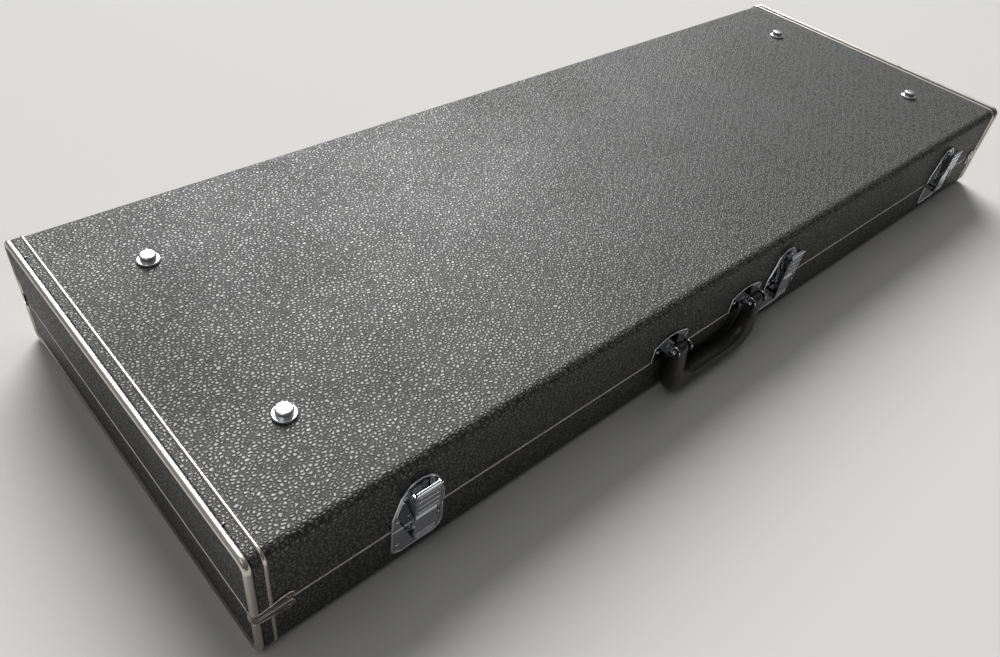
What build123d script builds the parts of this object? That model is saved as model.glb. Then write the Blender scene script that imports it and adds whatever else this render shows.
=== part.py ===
"""Hollow body guitar case, closed and lying on its lid with its feet up.

The shallow lid lies on the floor and the deep base, which carries the guitar, the handle, the
latch levers and the feet, is hinged to it along the back. Lengths are in millimetres.
The origin is the centre of the lid's outer face, on the floor. +X runs along the case to the
end on the right of its front, -Y is the front with the handle and latches, and +Z is up.
"""

import os
from math import asin, cos, sin

from build123d import *

# Case shell
case_length = 1130.0
case_width = 400.0
lid_height = 48.2
base_height = 64.5
seam_gap = 0.4
overcut = 1.0
long_edge_radius = 9.0
end_edge_radius = 3.0
cover_thickness = 1.0
wall_thickness = 7.0
panel_thickness = 4.0

# Aluminium rim on each half, with a tongue on the lid and a groove in the base
rim_height = 1.0
tongue_width = 1.6
tongue_height = 2.4
tongue_clearance = 0.9
tongue_inset = 3.4
tongue_back_stop = 60.0

# Bindings and covering strip round each end
binding_proud = 1.6
outer_binding_width = 4.8
outer_binding_leg = 3.2
outer_binding_round = 1.3
inner_binding_width = 3.0
inner_binding_place = 12.9
inner_binding_round = 1.3
strip_thickness = 0.7

# Corner clips where the bindings meet the seam
clip_thickness = 1.4
clip_height = 5.5
clip_end_leg = 7.0
clip_side_leg = 26.0
clip_tab_radius = 4.6
clip_rivet_radius = 1.0
clip_rivet_head = 1.9
clip_rivet_head_height = 1.0
clip_rivet_length = 5.0

# Feet on the base
foot_end_inset = 84.0
foot_side_inset = 92.5
foot_radius = 10.0
foot_ring_height = 2.4
foot_ring_round = 1.2
foot_cap_radius = 7.2
foot_cap_round = 2.0
foot_cap_dome = 0.6
foot_height = 8.0
foot_nail_radius = 1.5
foot_nail_length = 4.0

# Latches
near_latch_inset = 136.0
middle_latch_place = 55.0
far_latch_inset = 132.0
latch_width = 50.0
latch_top_width = 34.0
latch_shoulder = 15.0
latch_side_height = 37.0
latch_top_height = 47.0
latch_drop = 31.5
latch_corner_radius = 9.0
plate_thickness = 1.2
plate_gap = 0.3
lever_width = 24.2
lever_length = 37.0
lever_sheet = 1.3
lever_out = 12.0
lever_inner = 4.2
lever_pivot_out = 7.5
lever_pivot_up = 6.5
lever_cover_start = 14.8
lever_pin_radius = 1.3
lever_boss_radius = 3.8
lever_tip_out = 12.8
lever_play = 0.3
lever_heel = 3.0
lever_tip_rise = 1.2
lever_tip_sheet = 1.2
lever_tip_back = 0.6
ear_low = 1.5
ear_front_top = 20.0
ear_back_top = 31.0
lever_pin_play = 0.1
lever_pin_proud = 0.5
hasp_pivot_out = 7.0
hasp_pivot_reach = 9.0
hasp_pin_radius = 1.1
hasp_barrel_radius = 2.3
hasp_face_out = 10.4
hasp_sheet = 1.4
hasp_brow_in = 0.9
hasp_brow_up = 1.0
hasp_brow_drop = 1.5
hasp_root_drop = 2.0
hasp_foot_drop = 10.6
hasp_claw_in = 2.4
catch_bar_width = 18.0
catch_bar_out = 7.4
catch_bar_height = 3.0
running_clearance = 0.05
latch_rivet_radius = 1.2
latch_rivet_head = 2.2
latch_rivet_head_height = 0.9
latch_rivet_length = 5.0
latch_rivet_spread = 18.5
latch_rivet_up = 8.0
latch_rivet_top = 41.0
latch_rivet_down = 22.0

# Handle and its brackets
handle_centre = -70.0
handle_span = 122.0
bracket_width = 50.0
bracket_height = 26.8
bracket_side_height = 20.5
bracket_corner_radius = 4.0
bracket_ear_gap = 17.0
bracket_ear_thickness = 1.6
bracket_ear_reach = 6.4
bracket_rivet_spread = 17.5
bracket_rivet_up = 12.0
handle_pivot_out = 12.5
handle_pivot_up = 16.6
handle_pin_radius = 1.6
handle_pin_proud = 0.8
handle_arm_width = 14.6
handle_arm_thickness = 13.0
handle_length = 48.8
handle_grip_depth = 17.0
handle_grip_thickness = 19.0
handle_flare_length = 30.0
handle_corner_radius = 18.0
handle_inner_radius = 26.0
handle_grip_round = 8.4
handle_edge_round = 4.5

# Hinges along the back
hinge_end_inset = 185.0
hinge_width = 50.0
hinge_leaf_height = 24.0
hinge_leaf_start = 2.5
hinge_sheet = 1.2
hinge_axis_out = 3.9
hinge_barrel_radius = 3.0
hinge_pin_radius = 1.5
hinge_knuckle_gap = 0.3
hinge_web_in = 0.5
hinge_web_lap = 1.5
hinge_middle_share = 20.0
hinge_rivet_spread = 17.0
hinge_rivet_up = 14.0

# Lining, guitar nest with the foam beside each bout, neck cradle and accessory compartment
pad_side = 8.0
pad_floor = 6.0
pad_rim_drop = 2.0
nest_height = 44.0
nest_neck_end = 30.0
lower_bout_side = 12.0
lower_bout_inset = 195.0
upper_bout_side = 56.0
upper_bout_inset = 415.0
neck_channel_width = 80.0
cradle_place = 205.0
cradle_length = 50.0
cradle_width = 130.0
cradle_height = 42.0
cradle_channel_width = 62.0
cradle_channel_depth = 26.0
cradle_corner_radius = 8.0
cradle_channel_round = 14.0
compartment_from = 60.0
compartment_to = 330.0
compartment_width = 50.0
compartment_depth = 30.0
compartment_wall = 3.0
flap_thickness = 3.0
flap_play = 0.4
flap_pin_radius = 1.1
flap_pin_length = 2.4
flap_pin_inset = 2.6
tab_width = 20.0
tab_length = 16.0
tab_thickness = 1.0
tab_overhang = 4.0

half_length = case_length / 2
half_width = case_width / 2
lid_rim = lid_height
base_rim = lid_rim + seam_gap
top_face = base_rim + base_height
seam = lid_rim + seam_gap / 2
inner_half_length = half_length - cover_thickness - wall_thickness
inner_half_width = half_width - cover_thickness - wall_thickness
strip_zone = inner_binding_place + inner_binding_width / 2
latch_places = (near_latch_inset - half_length, middle_latch_place, half_length - far_latch_inset)
handle_places = (handle_centre - handle_span / 2, handle_centre + handle_span / 2)
hinge_places = (hinge_end_inset - half_length, 0.0, half_length - hinge_end_inset)
lower_bout_radius = inner_half_width - pad_side - lower_bout_side
upper_bout_radius = inner_half_width - pad_side - upper_bout_side
lower_bout_place = lower_bout_inset - half_length
upper_bout_place = upper_bout_inset - half_length

# Each half: its rim, its outer face, which way it goes from one to the other, and how much
# thicker its covering is between the bindings, which lets the lid lie flat
halves = {
    "base": {"rim": base_rim, "far": top_face, "up": 1, "pack": 0.0},
    "lid": {"rim": lid_rim, "far": 0.0, "up": -1, "pack": binding_proud},
}


def save(part, name):
    """Write one finished piece under its own name."""
    part.label = name
    export_step(part, f"parts/{name}.step")


def box_between(x, y, z, mode=Mode.ADD):
    """Add or cut a box given by its limits along X, Y and Z, in any order."""
    centre = tuple(sum(limits) / 2 for limits in (x, y, z))
    size = [abs(limits[1] - limits[0]) for limits in (x, y, z)]
    with Locations(centre):
        Box(*size, mode=mode)


def long_block(x_from, x_to, out, rim, far, radius, mode=Mode.ADD):
    """Add or cut a block as wide as the case whose two long outer edges are rounded."""
    with BuildSketch(Plane.YZ.offset(x_from)) as outline:
        with Locations((0, (rim + far) / 2)):
            Rectangle(2 * out, abs(far - rim))
        far_corners = outline.vertices().group_by(Axis.Y)[-1 if far > rim else 0]
        fillet(far_corners, radius)
    extrude(outline.sketch, amount=x_to - x_from, mode=mode)


def envelope(half, grow, rim):
    """The outside of one half from a given rim height, grown or shrunk, with its ends rounded."""
    far = half["far"] + half["up"] * (grow - half["pack"])
    end = half_length + grow
    with BuildPart() as block:
        long_block(-end, end, half_width + grow, rim, far, long_edge_radius + grow)
        end_edges = block.edges().group_by(Axis.X)[0] + block.edges().group_by(Axis.X)[-1]
        fillet(end_edges.filter_by(lambda e: abs(e.center().Z - rim) > 0.01), end_edge_radius + grow)
    return block.part


def wood_limits(half):
    """Z of the wood's rim, of the panel's inner face and of a height past its outer face."""
    rim = half["rim"] + half["up"] * rim_height
    inner = half["far"] - half["up"] * (half["pack"] + cover_thickness + panel_thickness)
    return rim, inner, half["far"]


def rivet_places(name):
    """X, Z and side of each rivet in one half's front and back faces."""
    half = halves[name]
    up = half["up"]
    places = []
    for x in latch_places:
        for side in (-1, 1):
            height = latch_rivet_up if name == "base" else latch_rivet_down
            places.append((x + side * latch_rivet_spread, seam + up * height, -1))
        if name == "base":
            places.append((x, seam + latch_rivet_top, -1))
    if name == "base":
        for x in handle_places:
            for side in (-1, 1):
                places.append((x + side * bracket_rivet_spread, seam + bracket_rivet_up, -1))
    for x in hinge_places:
        for side in (-1, 1):
            places.append((x + side * hinge_rivet_spread, seam + up * hinge_rivet_up, 1))
    for end in (-1, 1):
        for side in (-1, 1):
            x = end * (half_length - clip_side_leg)
            places.append((x, half["rim"] + up * clip_tab_radius, side))
    return places


def rivet_holes(name, radius):
    """Cut the hole of every rivet in one half from the piece being made."""
    for x, z, side in rivet_places(name):
        depth = plate_thickness + max(latch_rivet_length, clip_rivet_length)
        with Locations(Plane.XZ.offset(-side * half_width) * Location((x, z, 0))):
            Cylinder(radius, 2 * depth, mode=Mode.SUBTRACT)


def make_wood(name):
    """The panel and the four walls of one half."""
    half = halves[name]
    rim, inner, far = wood_limits(half)
    wood = envelope(half, -cover_thickness, rim)
    lengthwise = (-half_length, half_length)
    groove_out = half_width - cover_thickness - tongue_inset + tongue_clearance
    with BuildPart() as panel:
        add(wood)
        box_between(lengthwise, (-half_width, half_width), (inner, far), mode=Mode.INTERSECT)
        if name == "base":
            for x, y in foot_places():
                with Locations((x, y, far)):
                    Cylinder(foot_nail_radius, 2 * foot_nail_length, mode=Mode.SUBTRACT)
    save(panel.part, f"{name}_panel")
    for wall_name, side in (("front_wall", -1), ("back_wall", 1)):
        limits = (side * inner_half_width, side * half_width)
        with BuildPart() as wall:
            add(wood)
            box_between(lengthwise, limits, (rim, inner), mode=Mode.INTERSECT)
            rivet_holes(name, latch_rivet_radius)
            if name == "base" and side < 0:
                cut_groove(rim)
        save(wall.part, f"{name}_{wall_name}")
    for wall_name, side in (("near_wall", -1), ("far_wall", 1)):
        limits = (side * inner_half_length, side * half_length)
        with BuildPart() as wall:
            add(wood)
            across = (-inner_half_width, inner_half_width)
            box_between(limits, across, (rim, inner), mode=Mode.INTERSECT)
            if name == "base":
                cut_groove(rim)
        save(wall.part, f"{name}_{wall_name}")


def tongue_ring(z_from, z_to, clearance, mode=Mode.ADD):
    """Add or cut the tongue's run along the front and the two ends, grown by a clearance."""
    out_x = half_length - cover_thickness - tongue_inset + clearance
    out_y = half_width - cover_thickness - tongue_inset + clearance
    width = tongue_width + 2 * clearance
    back = half_width - tongue_back_stop + 4 * clearance
    box_between((-out_x, out_x), (-out_y, -out_y + width), (z_from, z_to), mode=mode)
    for end in (-1, 1):
        limits = (end * out_x, end * (out_x - width))
        box_between(limits, (-out_y, back), (z_from, z_to), mode=mode)


def cut_groove(rim):
    """Cut the room for the tongue from a base wall."""
    tongue_ring(rim - rim_height, base_rim + tongue_height + tongue_clearance, tongue_clearance,
                mode=Mode.SUBTRACT)


def make_rim(name):
    """The aluminium rim that closes the edge of one half."""
    half = halves[name]
    up = half["up"]
    rim = half["rim"]
    inside = rim + up * rim_height
    with BuildPart() as ring:
        add(envelope(half, 0.0, rim))
        across = (-half_width, half_width)
        box_between((-half_length, half_length), across, (rim, inside), mode=Mode.INTERSECT)
        inner_x = (-inner_half_length, inner_half_length)
        inner_y = (-inner_half_width, inner_half_width)
        box_between(inner_x, inner_y, (rim - overcut, inside + overcut),
                    mode=Mode.SUBTRACT)
        if name == "lid":
            tongue_ring(rim, rim + tongue_height, 0.0)
        else:
            tongue_ring(rim - overcut, inside + overcut, tongue_clearance, mode=Mode.SUBTRACT)
    save(ring.part, f"{name}_rim")


def make_covering(name):
    """The leatherette skin over one half, thicker between the bindings on the lid."""
    half = halves[name]
    rim = wood_limits(half)[0]
    field = half_length - strip_zone
    with BuildPart() as skin:
        add(envelope(half, 0.0, rim))
        if half["pack"]:
            long_block(-field, field, half_width, rim, half["far"], long_edge_radius)
        add(envelope(half, -cover_thickness, rim - half["up"] * overcut), mode=Mode.SUBTRACT)
        rivet_holes(name, latch_rivet_radius)
        if name == "base":
            for x, y in foot_places():
                with Locations((x, y, half["far"])):
                    Cylinder(foot_nail_radius, 2 * foot_nail_length, mode=Mode.SUBTRACT)
    save(skin.part, f"{name}_covering")


def block_round_end(half, x_from, x_to, thickness, rounding):
    """A block round one end of a half, proud of it by a thickness, with its two rims rounded."""
    up = half["up"]
    start = half["rim"] + up * clip_height
    far = half["far"] - up * half["pack"]
    with BuildPart() as block:
        long_block(x_from, x_to, half_width + thickness, start, far + up * thickness,
                   long_edge_radius + thickness)
        if rounding:
            sides = block.faces().filter_by(GeomType.PLANE).filter_by(Axis.X)
            rims = sides.edges().filter_by(lambda e: abs(e.center().Z - start) > 0.01)
            fillet(rims, rounding)
    return block.part


def strip_round_end(half, x_from, x_to, thickness, rounding):
    """A strip that runs up the front, over the outer face and down the back near one end."""
    up = half["up"]
    start = half["rim"] + up * clip_height
    far = half["far"] - up * half["pack"]
    with BuildPart() as strip:
        add(block_round_end(half, x_from, x_to, thickness, rounding))
        long_block(x_from - overcut, x_to + overcut, half_width, start - up * overcut, far,
                   long_edge_radius, mode=Mode.SUBTRACT)
    return strip.part


def make_end_trim(name):
    """The thick binding on each end edge, the covering strip and the thin binding inside it."""
    half = halves[name]
    up = half["up"]
    start = half["rim"] + up * clip_height
    bead_start = half_length - outer_binding_width
    past_end = half_length + 2 * binding_proud
    with BuildPart() as rounded:
        add(block_round_end(half, bead_start, past_end, binding_proud, outer_binding_round))
        mirror(about=Plane.YZ)
    with BuildPart() as outer:
        add(envelope(half, binding_proud, start))
        below = start - up * overcut
        long_block(-bead_start, bead_start, 2 * half_width, below, 2 * top_face * up,
                   long_edge_radius, mode=Mode.SUBTRACT)
        add(envelope(half, 0.0, below), mode=Mode.SUBTRACT)
        inner_far = half["far"] - up * (half["pack"] + outer_binding_leg)
        long_block(-past_end, past_end, half_width - outer_binding_leg, below, inner_far,
                   long_edge_radius, mode=Mode.SUBTRACT)
        add(rounded.part, mode=Mode.INTERSECT)
    save(outer.part, f"{name}_outer_bindings")
    inner_from = half_length - strip_zone
    inner_to = inner_from + inner_binding_width
    with BuildPart() as inner:
        add(strip_round_end(half, inner_from, inner_to, binding_proud, inner_binding_round))
        mirror(about=Plane.YZ)
    save(inner.part, f"{name}_inner_bindings")
    with BuildPart() as strips:
        add(strip_round_end(half, inner_to, bead_start, strip_thickness, 0.0))
        mirror(about=Plane.YZ)
    save(strips.part, f"{name}_end_strips")


def make_corner_clips(name):
    """Stamped clips that wrap the four upright corners at the seam, each with a riveted tab."""
    half = halves[name]
    up = half["up"]
    rim = half["rim"]
    tab_x = half_length - clip_side_leg
    tab_z = rim + up * clip_tab_radius
    past = 2 * clip_thickness
    wide = (-half_length - past, half_length + past)
    deep = (-half_width - past, half_width + past)
    tall = (-past, top_face)
    with BuildPart() as clips:
        add(envelope(half, clip_thickness, rim))
        box_between(wide, deep, (rim, rim + up * clip_height), mode=Mode.INTERSECT)
        box_between((-tab_x, tab_x), deep, tall, mode=Mode.SUBTRACT)
        end_y = half_width - clip_end_leg
        box_between(wide, (-end_y, end_y), tall, mode=Mode.SUBTRACT)
        for end in (-1, 1):
            for side in (-1, 1):
                plane = Plane.XZ.offset(-side * (half_width + clip_thickness / 2))
                with Locations(plane * Location((end * tab_x, tab_z, 0))):
                    Cylinder(clip_tab_radius, clip_thickness)
        add(envelope(half, 0.0, rim - up * overcut), mode=Mode.SUBTRACT)
        rivet_holes(name, clip_rivet_radius)
    save(clips.part, f"{name}_corner_clips")


def make_clip_rivets(name):
    """The rivet through each corner clip's tab."""
    with BuildPart() as rivets:
        for x, z, side in rivet_places(name)[-4:]:
            dome_rivet(x, z, side, clip_thickness, clip_rivet_radius, clip_rivet_head,
                       clip_rivet_head_height, clip_rivet_length)
    save(rivets.part, f"{name}_clip_rivets")


def dome_arc(radius, base, height):
    """Draw half the outline of a shallow dome, from its rim to its top on the axis."""
    ball = (radius**2 + height**2) / (2 * height)
    half_angle = asin(radius / ball) / 2
    middle = (ball * sin(half_angle), base + height - ball * (1 - cos(half_angle)))
    ThreePointArc((radius, base), middle, (0, base + height))


def dome_rivet(x, z, side, seat, radius, head, head_height, length):
    """Add a domed rivet that stands on a plate of a given thickness on the front or back."""
    y = side * (half_width + seat)
    with BuildSketch(Plane((x, y, z), x_dir=(1, 0, 0), z_dir=(0, 0, side))) as profile:
        with BuildLine():
            Polyline((0, head_height), (0, -length), (radius, -length), (radius, 0), (head, 0))
            dome_arc(head, 0, head_height)
        make_face()
    revolve(profile.sketch, axis=Axis((x, y, z), (0, 1, 0)))


def foot_places():
    """X and Y of the four feet."""
    spread_x = half_length - foot_end_inset
    spread_y = half_width - foot_side_inset
    return [(x, y) for x in (-spread_x, spread_x) for y in (-spread_y, spread_y)]


def make_feet():
    """Domed metal feet on the base, each held by a nail."""
    with BuildPart() as feet:
        for x, y in foot_places():
            with BuildSketch(Plane((x, y, top_face), x_dir=(1, 0, 0), z_dir=(0, -1, 0))) as profile:
                with BuildLine():
                    shoulder = foot_height - foot_cap_dome - foot_cap_round
                    Polyline((foot_nail_radius, 0), (foot_radius, 0),
                             (foot_radius, foot_ring_height - foot_ring_round))
                    RadiusArc((foot_radius, foot_ring_height - foot_ring_round),
                              (foot_radius - foot_ring_round, foot_ring_height), -foot_ring_round)
                    Polyline((foot_radius - foot_ring_round, foot_ring_height),
                             (foot_cap_radius, foot_ring_height), (foot_cap_radius, shoulder))
                    RadiusArc((foot_cap_radius, shoulder),
                              (foot_cap_radius - foot_cap_round, shoulder + foot_cap_round),
                              -foot_cap_round)
                    dome_arc(foot_cap_radius - foot_cap_round, foot_height - foot_cap_dome,
                             foot_cap_dome)
                    Polyline((0, foot_height), (0, foot_ring_height),
                             (foot_nail_radius, foot_ring_height), (foot_nail_radius, 0))
                make_face()
            revolve(profile.sketch, axis=Axis((x, y, 0), (0, 0, 1)))
    save(feet.part, "feet")
    with BuildPart() as nails:
        for x, y in foot_places():
            with Locations((x, y, top_face + (foot_ring_height - foot_nail_length) / 2)):
                Cylinder(foot_nail_radius, foot_ring_height + foot_nail_length)
    save(nails.part, "foot_nails")


def front_plane(out, x=0.0, z=0.0):
    """A plane that faces the front, a distance out from the covering, at X and Z."""
    return Plane((x, -half_width - out, z), x_dir=(1, 0, 0), z_dir=(0, -1, 0))


def side_plane(x):
    """A plane across the case at X whose first axis points out of the front."""
    return Plane((x, -half_width, seam), x_dir=(0, -1, 0), z_dir=(-1, 0, 0))


def across_pin(x_from, x_to, out, up, radius, mode=Mode.ADD):
    """Add or cut a round bar along X, out from the front face and up from the seam."""
    with BuildSketch(side_plane(x_to)) as end:
        with Locations((out, up)):
            Circle(radius)
    extrude(end.sketch, amount=x_to - x_from, mode=mode)


def make_latch_plate(x, name):
    """The riveted plate on the base that carries the lever between its two ears."""
    low = plate_gap + seam_gap / 2
    with BuildPart() as plate:
        with BuildSketch(front_plane(0, x, seam)) as outline:
            with BuildLine():
                shoulder = (latch_width / 2, latch_shoulder)
                top = (latch_top_width / 2, latch_side_height)
                Polyline((-top[0], top[1]), (-shoulder[0], shoulder[1]), (-shoulder[0], low),
                         (shoulder[0], low), shoulder, top)
                ThreePointArc(top, (0, latch_top_height), (-top[0], top[1]))
            make_face()
        extrude(outline.sketch, amount=plate_thickness)
        ear_in = lever_width / 2 + lever_play
        for side in (-1, 1):
            face = x + (ear_in if side > 0 else -ear_in - lever_sheet)
            with BuildSketch(side_plane(face + lever_sheet)) as ear:
                with BuildLine():
                    ear_out = lever_pivot_out + lever_boss_radius
                    Polyline((plate_thickness, ear_low), (lever_pivot_out, ear_low),
                             (ear_out, lever_pivot_up), (ear_out, ear_front_top),
                             (plate_thickness, ear_back_top), (plate_thickness, ear_low))
                make_face()
            extrude(ear.sketch, amount=lever_sheet)
        reach = ear_in + lever_sheet + overcut
        across_pin(x - reach, x + reach, lever_pivot_out, lever_pivot_up, lever_pin_radius,
                   mode=Mode.SUBTRACT)
        for place_x, place_z, side in rivet_places("base"):
            if side < 0 and abs(place_x - x) < latch_width / 2:
                with Locations(front_plane(0, place_x, place_z)):
                    Cylinder(latch_rivet_radius, 3 * plate_thickness, mode=Mode.SUBTRACT)
    save(plate.part, f"{name}_latch_plate")


def make_catch_plate(x, name):
    """The riveted plate on the lid, with the raised bar that the hasp's claw hooks under."""
    low = plate_gap + seam_gap / 2
    with BuildPart() as plate:
        with BuildSketch(front_plane(0, x, seam)) as outline:
            with Locations((0, -(low + latch_drop) / 2)):
                Rectangle(latch_width, latch_drop - low)
            fillet(outline.vertices().group_by(Axis.Y)[0], latch_corner_radius)
        extrude(outline.sketch, amount=plate_thickness)
        claw_top = hasp_foot_drop - hasp_sheet
        bar_low = seam - claw_top + lever_play
        box_between((x - catch_bar_width / 2, x + catch_bar_width / 2),
                    (-half_width, -half_width - catch_bar_out), (bar_low, bar_low + catch_bar_height))
        for place_x, place_z, side in rivet_places("lid"):
            if side < 0 and abs(place_x - x) < latch_width / 2:
                with Locations(front_plane(0, place_x, place_z)):
                    Cylinder(latch_rivet_radius, 3 * plate_thickness, mode=Mode.SUBTRACT)
    save(plate.part, f"{name}_catch_plate")


def make_lever(x, name):
    """The lever: two flanges on side pins, a cover above the hasp's pivot and a curled tip."""
    top = lever_pivot_up + lever_length
    cover_from = lever_pivot_up + lever_cover_start
    inner = lever_width / 2 - lever_sheet
    reach = lever_width / 2
    with BuildPart() as lever:
        for side in (-1, 1):
            face = x + (inner if side > 0 else -inner - lever_sheet)
            with BuildSketch(side_plane(face + lever_sheet)) as flange:
                with Locations((lever_pivot_out, lever_pivot_up)):
                    Circle(lever_boss_radius)
                with BuildLine():
                    heel = lever_pivot_out + lever_heel
                    Polyline((lever_inner, lever_pivot_up), (heel, lever_pivot_up),
                             (lever_out, cover_from), (lever_out, top), (lever_inner, top),
                             (lever_inner, lever_pivot_up))
                make_face()
            extrude(flange.sketch, amount=lever_sheet)
        with BuildSketch(side_plane(x + reach)) as cover:
            with BuildLine():
                inside = lever_out - lever_sheet
                lip = top + lever_tip_rise
                Polyline((inside, cover_from), (lever_out, cover_from), (lever_out, top),
                         (lever_tip_out, lip), (lever_tip_out - lever_tip_back, lip + lever_tip_sheet),
                         (inside, top + lever_tip_sheet), (inside, cover_from))
            make_face()
        extrude(cover.sketch, amount=2 * reach)
        through = reach + overcut
        across_pin(x - through, x + through, lever_pivot_out, lever_pivot_up,
                   lever_pin_radius + running_clearance, mode=Mode.SUBTRACT)
        across_pin(x - through, x + through, hasp_pivot_out, lever_pivot_up + hasp_pivot_reach,
                   hasp_pin_radius, mode=Mode.SUBTRACT)
    save(lever.part, f"{name}_latch_lever")
    with BuildPart() as pin:
        across_pin(x - reach, x + reach, hasp_pivot_out, lever_pivot_up + hasp_pivot_reach,
                   hasp_pin_radius)
    save(pin.part, f"{name}_hasp_pin")


def make_hasp(x, name):
    """The draw plate: a barrel on the lever's pin, a smooth face and a claw at its foot."""
    pivot_up = lever_pivot_up + hasp_pivot_reach
    reach = lever_width / 2 - lever_sheet - lever_play
    with BuildPart() as hasp:
        across_pin(x - reach, x + reach, hasp_pivot_out, pivot_up, hasp_barrel_radius)
        with BuildSketch(side_plane(x + reach)) as sheet:
            with BuildLine():
                inside = hasp_face_out - hasp_sheet
                claw_top = hasp_sheet - hasp_foot_drop
                Polyline((hasp_pivot_out, pivot_up),
                         (hasp_face_out - hasp_brow_in, pivot_up + hasp_brow_up),
                         (hasp_face_out, pivot_up - hasp_brow_drop), (hasp_face_out, -hasp_foot_drop),
                         (hasp_claw_in, -hasp_foot_drop), (hasp_claw_in, claw_top),
                         (inside, claw_top), (inside, pivot_up - hasp_root_drop),
                         (hasp_pivot_out, pivot_up))
            make_face()
        extrude(sheet.sketch, amount=2 * reach)
        across_pin(x - reach, x + reach, hasp_pivot_out, pivot_up,
                   hasp_pin_radius + running_clearance, mode=Mode.SUBTRACT)
    save(hasp.part, f"{name}_hasp")


def make_lever_pins():
    """The two short pins that carry each lever in the ears of its plate."""
    inner = lever_width / 2 - lever_sheet + lever_pin_play
    outer = lever_width / 2 + lever_play + lever_sheet + lever_pin_proud
    with BuildPart() as pins:
        for x in latch_places:
            across_pin(x - outer, x - inner, lever_pivot_out, lever_pivot_up, lever_pin_radius)
            across_pin(x + inner, x + outer, lever_pivot_out, lever_pivot_up, lever_pin_radius)
    save(pins.part, "latch_lever_pins")


def make_plate_rivets(name, node, wanted):
    """Rivets through the thin plates of one half, chosen by where they are."""
    with BuildPart() as rivets:
        for x, z, side in rivet_places(name)[:-4]:
            if wanted(x, side):
                dome_rivet(x, z, side, plate_thickness, latch_rivet_radius, latch_rivet_head,
                           latch_rivet_head_height, latch_rivet_length)
    save(rivets.part, node)


def near_any(x, places, reach):
    """Whether X is within reach of any of the given places."""
    return any(abs(x - place) < reach for place in places)


def make_handle():
    """The two brackets, the moulded handle that swings in them and its pins."""
    ear_in = bracket_ear_gap / 2
    ear_out = ear_in + bracket_ear_thickness
    low = plate_gap + seam_gap / 2
    with BuildPart() as brackets:
        for x in handle_places:
            with BuildSketch(front_plane(0, x, seam)) as outline:
                with BuildLine():
                    half = bracket_width / 2
                    Polyline((-half, bracket_side_height), (-half, low), (half, low),
                             (half, bracket_side_height))
                    ThreePointArc((half, bracket_side_height), (0, bracket_height),
                                  (-half, bracket_side_height))
                make_face()
                fillet(outline.vertices().group_by(Axis.Y)[-1], bracket_corner_radius)
            extrude(outline.sketch, amount=plate_thickness)
            for face in (x - ear_in, x + ear_out):
                with BuildSketch(side_plane(face)) as ear:
                    with Locations((handle_pivot_out, handle_pivot_up)):
                        Circle(bracket_ear_reach)
                    with Locations((handle_pivot_out / 2, handle_pivot_up)):
                        Rectangle(handle_pivot_out, 2 * bracket_ear_reach)
                extrude(ear.sketch, amount=bracket_ear_thickness)
            across_pin(x - ear_out - overcut, x + ear_out + overcut, handle_pivot_out, handle_pivot_up,
                       handle_pin_radius, mode=Mode.SUBTRACT)
        for place_x, place_z, side in rivet_places("base"):
            if side < 0 and near_any(place_x, handle_places, bracket_width / 2):
                with Locations(front_plane(0, place_x, place_z)):
                    Cylinder(latch_rivet_radius, 3 * plate_thickness, mode=Mode.SUBTRACT)
    save(brackets.part, "handle_brackets")
    with BuildPart() as pins:
        for x in handle_places:
            head = ear_out + handle_pin_proud
            across_pin(x - head, x + head, handle_pivot_out, handle_pivot_up, handle_pin_radius)
    save(pins.part, "handle_pins")
    make_grip()


def make_grip():
    """The moulded handle: thin arms that flare into a thick grip, hanging from its pins."""
    middle = sum(handle_places) / 2
    span = handle_places[1] - handle_places[0]
    outer = span + handle_arm_width
    inner = span - handle_arm_width
    pivot_y = -half_width - handle_pivot_out
    pivot_z = seam + handle_pivot_up
    away = (0, -1, 0)
    top = handle_arm_thickness / 2
    foot = handle_length + handle_grip_depth / 2
    gap = handle_length - handle_grip_depth / 2
    with BuildPart() as handle:
        side = Plane((middle + outer / 2, pivot_y, pivot_z), x_dir=away, z_dir=(-1, 0, 0))
        with BuildSketch(side) as profile:
            with BuildLine():
                thick = handle_grip_thickness / 2
                Polyline((-top, 0), (-thick, -handle_flare_length), (-thick, -foot), (thick, -foot),
                         (thick, -handle_flare_length), (top, 0), (-top, 0))
            make_face()
            fillet(profile.vertices().group_by(Axis.Y)[0], handle_grip_round)
            Circle(top)
            Circle(handle_pin_radius + running_clearance, mode=Mode.SUBTRACT)
        extrude(profile.sketch, amount=outer)
        front = Plane((middle, pivot_y, pivot_z), x_dir=(1, 0, 0), z_dir=away)
        with BuildSketch(front) as outline:
            with Locations((0, (top - foot) / 2)):
                Rectangle(outer, top + foot)
            fillet(outline.vertices().group_by(Axis.Y)[0], handle_corner_radius)
            with Locations((0, (foot - gap) / 2)):
                Rectangle(inner, foot + gap, mode=Mode.SUBTRACT)
            inside = outline.vertices().filter_by(
                lambda v: abs(abs(v.X) - inner / 2) < 0.01 and abs(v.Y + gap) < 0.01)
            fillet(inside, handle_inner_radius)
        extrude(outline.sketch, amount=handle_grip_thickness, both=True, mode=Mode.INTERSECT)
        grip_z = pivot_z - gap + handle_inner_radius
        rims = handle.edges().filter_by(lambda e: e.center().Z < grip_z and e.length > overcut)
        fillet(rims.filter_by(lambda e: abs(e.tangent_at(0.5).Y) < 0.3), handle_edge_round)
    save(handle.part, "handle_grip")


def hinge_bar(x_from, x_to, radius, mode=Mode.ADD):
    """Add or cut a round bar along the hinge axis."""
    centre = ((x_from + x_to) / 2, half_width + hinge_axis_out, seam)
    with Locations(Location(centre, (0, 90, 0))):
        Cylinder(radius, x_to - x_from, mode=mode)


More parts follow.
